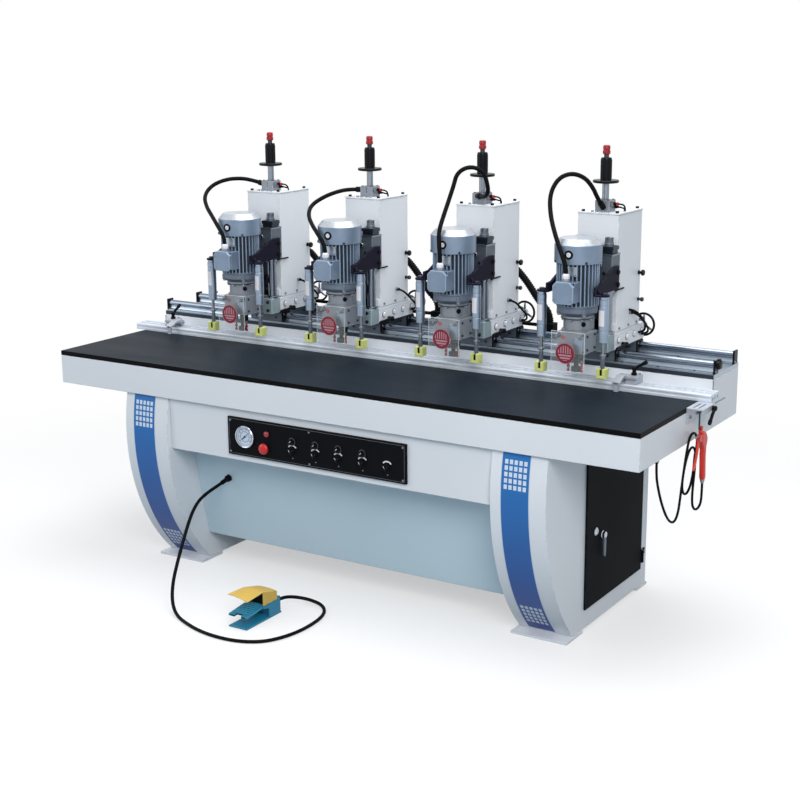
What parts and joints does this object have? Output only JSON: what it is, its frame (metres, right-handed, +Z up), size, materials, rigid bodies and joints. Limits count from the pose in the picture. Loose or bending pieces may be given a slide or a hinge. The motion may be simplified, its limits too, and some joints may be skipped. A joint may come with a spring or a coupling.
{
  "type": "multi-head hinge boring machine",
  "caption": "Woodworking boring machine: a row of motor heads on round guide rails above a long table with a fence, clamps, cabinet base, control panel, foot pedal and air gun.",
  "frame": {"origin": "middle of the floor area under the machine and its pedal, at floor level", "axes": "+X along the table towards the cabinet door, +Y from the operator to the rails, +Z up"},
  "size_m": [2.619, 1.3485, 1.69],
  "materials": {
    "white_paint": "smooth cool white enamel",
    "black_top": "dark laminate with a faint sheen",
    "steel": "machined steel",
    "aluminium": "extruded aluminium",
    "black_plastic": "black plastic",
    "red_plastic": "glossy red plastic",
    "black_paint": "black enamel",
    "chrome": "polished chrome",
    "teal_paint": "teal enamel",
    "hose_rubber": "black rubber",
    "motor_grey": "blue-grey painted casting",
    "pad_plastic": "pale yellow-green plastic"
  },
  "bodies": {
    "base": {"base_frame": "white_paint", "right_cabinet": "white_paint", "table_frame": "white_paint", "table_top": "black_top", "guide_rails": "steel", "fence": "aluminium", "control_panel": "black_plastic", "foot_pedal": "teal_paint", "pedal_hose": "hose_rubber", "air_hose": "hose_rubber", "air_gun": "red_plastic"},
    "head_1": {"carriage_1": "steel", "column_1": "white_paint", "motor_cable_1": "hose_rubber"},
    "drill_1": {"drill_head_1": "steel", "motor_1": "motor_grey"},
    "clamp_1": {"clamp_feet_1": "pad_plastic"},
    "bit_1": {"spindle_1": "steel"},
    "wheel_1": {"handwheel_1": "chrome"},
    "head_2": {"carriage_2": "steel", "column_2": "white_paint", "motor_cable_2": "hose_rubber"},
    "drill_2": {"drill_head_2": "steel", "motor_2": "motor_grey"},
    "clamp_2": {"clamp_feet_2": "pad_plastic"},
    "bit_2": {"spindle_2": "steel"},
    "wheel_2": {"handwheel_2": "chrome"},
    "head_3": {"carriage_3": "steel", "column_3": "white_paint", "motor_cable_3": "hose_rubber"},
    "drill_3": {"drill_head_3": "steel", "motor_3": "motor_grey"},
    "clamp_3": {"clamp_feet_3": "pad_plastic"},
    "bit_3": {"spindle_3": "steel"},
    "wheel_3": {"handwheel_3": "chrome"},
    "head_4": {"carriage_4": "steel", "column_4": "white_paint", "motor_cable_4": "hose_rubber"},
    "drill_4": {"drill_head_4": "steel", "motor_4": "motor_grey"},
    "clamp_4": {"clamp_feet_4": "pad_plastic"},
    "bit_4": {"spindle_4": "steel"},
    "wheel_4": {"handwheel_4": "chrome"},
    "stop_left": {"flip_stop_left": "aluminium"},
    "stop_right": {"flip_stop_right": "aluminium"},
    "stop_button": {"emergency_stop": "red_plastic"},
    "switch_1": {"selector_1": "black_plastic"},
    "switch_2": {"selector_2": "black_plastic"},
    "switch_3": {"selector_3": "black_plastic"},
    "switch_4": {"selector_4": "black_plastic"},
    "valve_1": {"air_knob_1": "black_plastic"},
    "valve_2": {"air_knob_2": "black_plastic"},
    "valve_3": {"air_knob_3": "black_plastic"},
    "valve_4": {"air_knob_4": "black_plastic"},
    "valve_5": {"air_knob_5": "black_plastic"},
    "door": {"cabinet_door": "black_paint"},
    "handle": {"door_handle": "chrome"},
    "pedal_tread": {"treadle": "teal_paint"},
    "trigger": {"gun_trigger": "red_plastic"}
  },
  "joints": [
    {"name": "head_slide_1", "type": "slide", "parent": "base", "child": "head_1", "axis": [1, 0, 0], "range_m": [-0.08, 0.08]},
    {"name": "drill_feed_1", "type": "slide", "parent": "head_1", "child": "drill_1", "axis": [0, 0, 1], "range_m": [-0.055, 0], "stiffness_N_per_m": 6000, "springref_m": 0.12},
    {"name": "clamp_press_1", "type": "slide", "parent": "head_1", "child": "clamp_1", "axis": [0, 0, 1], "range_m": [-0.05, 0], "stiffness_N_per_m": 500, "springref_m": 0.1},
    {"name": "bit_spin_1", "type": "hinge", "parent": "drill_1", "child": "bit_1", "pos_m": [-0.7145, 0.157, 1], "axis": [0, 0, 1], "continuous": true},
    {"name": "wheel_turn_1", "type": "hinge", "parent": "head_1", "child": "wheel_1", "pos_m": [-0.6495, 0.582, 1.01], "axis": [0, 1, 0], "range_deg": [-240, 240]},
    {"name": "stop_left_flip", "type": "hinge", "parent": "base", "child": "stop_left", "pos_m": [-1.0995, 0.217, 0.893], "axis": [-1, 0, 0], "range_deg": [0, 100]},
    {"name": "stop_right_flip", "type": "hinge", "parent": "base", "child": "stop_right", "pos_m": [0.9415, 0.217, 0.893], "axis": [-1, 0, 0], "range_deg": [0, 100]},
    {"name": "stop_button_push", "type": "slide", "parent": "base", "child": "stop_button", "axis": [0, 1, 0], "range_m": [0, 0.005], "stiffness_N_per_m": 800, "springref_m": -0.004},
    {"name": "switch_turn_1", "type": "hinge", "parent": "base", "child": "switch_1", "pos_m": [-0.1365, -0.308, 0.628], "axis": [0, 1, 0], "range_deg": [-45, 45]},
    {"name": "valve_turn_1", "type": "hinge", "parent": "base", "child": "valve_1", "pos_m": [-0.1365, -0.308, 0.592], "axis": [0, 1, 0], "range_deg": [-135, 135]},
    {"name": "door_swing", "type": "hinge", "parent": "base", "child": "door", "pos_m": [0.9155, 0.494, 0.38], "axis": [0, 0, 1], "range_deg": [0, 110]},
    {"name": "handle_turn", "type": "hinge", "parent": "door", "child": "handle", "pos_m": [0.9215, 0.12, 0.332], "axis": [1, 0, 0], "range_deg": [0, 90]},
    {"name": "treadle_press", "type": "hinge", "parent": "base", "child": "pedal_tread", "pos_m": [-0.1695, -0.468, 0.062], "axis": [1, 0, 0], "range_deg": [0, 12], "stiffness_Nm_per_rad": 6, "springref_deg": -14.32},
    {"name": "trigger_pull", "type": "hinge", "parent": "base", "child": "trigger", "pos_m": [1.2825, 0.067, 0.748], "axis": [1, 0, 0], "range_deg": [0, 6], "stiffness_Nm_per_rad": 0.6, "springref_deg": -11.46},
    {"name": "head_slide_2", "type": "slide", "parent": "base", "child": "head_2", "axis": [1, 0, 0], "range_m": [-0.08, 0.08]},
    {"name": "drill_feed_2", "type": "slide", "parent": "head_2", "child": "drill_2", "axis": [0, 0, 1], "range_m": [-0.055, 0], "stiffness_N_per_m": 6000, "springref_m": 0.12},
    {"name": "clamp_press_2", "type": "slide", "parent": "head_2", "child": "clamp_2", "axis": [0, 0, 1], "range_m": [-0.05, 0], "stiffness_N_per_m": 500, "springref_m": 0.1},
    {"name": "bit_spin_2", "type": "hinge", "parent": "drill_2", "child": "bit_2", "pos_m": [-0.2295, 0.157, 1], "axis": [0, 0, 1], "continuous": true},
    {"name": "wheel_turn_2", "type": "hinge", "parent": "head_2", "child": "wheel_2", "pos_m": [-0.1645, 0.582, 1.01], "axis": [0, 1, 0], "range_deg": [-240, 240]},
    {"name": "head_slide_3", "type": "slide", "parent": "base", "child": "head_3", "axis": [1, 0, 0], "range_m": [-0.08, 0.08]},
    {"name": "drill_feed_3", "type": "slide", "parent": "head_3", "child": "drill_3", "axis": [0, 0, 1], "range_m": [-0.055, 0], "stiffness_N_per_m": 6000, "springref_m": 0.12},
    {"name": "clamp_press_3", "type": "slide", "parent": "head_3", "child": "clamp_3", "axis": [0, 0, 1], "range_m": [-0.05, 0], "stiffness_N_per_m": 500, "springref_m": 0.1},
    {"name": "bit_spin_3", "type": "hinge", "parent": "drill_3", "child": "bit_3", "pos_m": [0.2755, 0.157, 1], "axis": [0, 0, 1], "continuous": true},
    {"name": "wheel_turn_3", "type": "hinge", "parent": "head_3", "child": "wheel_3", "pos_m": [0.3405, 0.582, 1.01], "axis": [0, 1, 0], "range_deg": [-240, 240]},
    {"name": "head_slide_4", "type": "slide", "parent": "base", "child": "head_4", "axis": [1, 0, 0], "range_m": [-0.08, 0.08]},
    {"name": "drill_feed_4", "type": "slide", "parent": "head_4", "child": "drill_4", "axis": [0, 0, 1], "range_m": [-0.055, 0], "stiffness_N_per_m": 6000, "springref_m": 0.12},
    {"name": "clamp_press_4", "type": "slide", "parent": "head_4", "child": "clamp_4", "axis": [0, 0, 1], "range_m": [-0.05, 0], "stiffness_N_per_m": 500, "springref_m": 0.1},
    {"name": "bit_spin_4", "type": "hinge", "parent": "drill_4", "child": "bit_4", "pos_m": [0.7805, 0.157, 1], "axis": [0, 0, 1], "continuous": true},
    {"name": "wheel_turn_4", "type": "hinge", "parent": "head_4", "child": "wheel_4", "pos_m": [0.8455, 0.582, 1.01], "axis": [0, 1, 0], "range_deg": [-240, 240]},
    {"name": "switch_turn_2", "type": "hinge", "parent": "base", "child": "switch_2", "pos_m": [-0.0335, -0.308, 0.628], "axis": [0, 1, 0], "range_deg": [-45, 45]},
    {"name": "switch_turn_3", "type": "hinge", "parent": "base", "child": "switch_3", "pos_m": [0.0675, -0.308, 0.628], "axis": [0, 1, 0], "range_deg": [-45, 45]},
    {"name": "switch_turn_4", "type": "hinge", "parent": "base", "child": "switch_4", "pos_m": [0.1715, -0.308, 0.628], "axis": [0, 1, 0], "range_deg": [-45, 45]},
    {"name": "valve_turn_2", "type": "hinge", "parent": "base", "child": "valve_2", "pos_m": [-0.0335, -0.308, 0.592], "axis": [0, 1, 0], "range_deg": [-135, 135]},
    {"name": "valve_turn_3", "type": "hinge", "parent": "base", "child": "valve_3", "pos_m": [0.0675, -0.308, 0.592], "axis": [0, 1, 0], "range_deg": [-135, 135]},
    {"name": "valve_turn_4", "type": "hinge", "parent": "base", "child": "valve_4", "pos_m": [0.1715, -0.308, 0.592], "axis": [0, 1, 0], "range_deg": [-135, 135]},
    {"name": "valve_turn_5", "type": "hinge", "parent": "base", "child": "valve_5", "pos_m": [0.2765, -0.308, 0.592], "axis": [0, 1, 0], "range_deg": [-135, 135]}
  ],
  "couplings": [
    {"joint": "wheel_turn_1", "follows": "head_slide_1", "rad_per_m": 50},
    {"joint": "wheel_turn_2", "follows": "head_slide_2", "rad_per_m": 50},
    {"joint": "wheel_turn_3", "follows": "head_slide_3", "rad_per_m": 50},
    {"joint": "wheel_turn_4", "follows": "head_slide_4", "rad_per_m": 50}
  ]
}
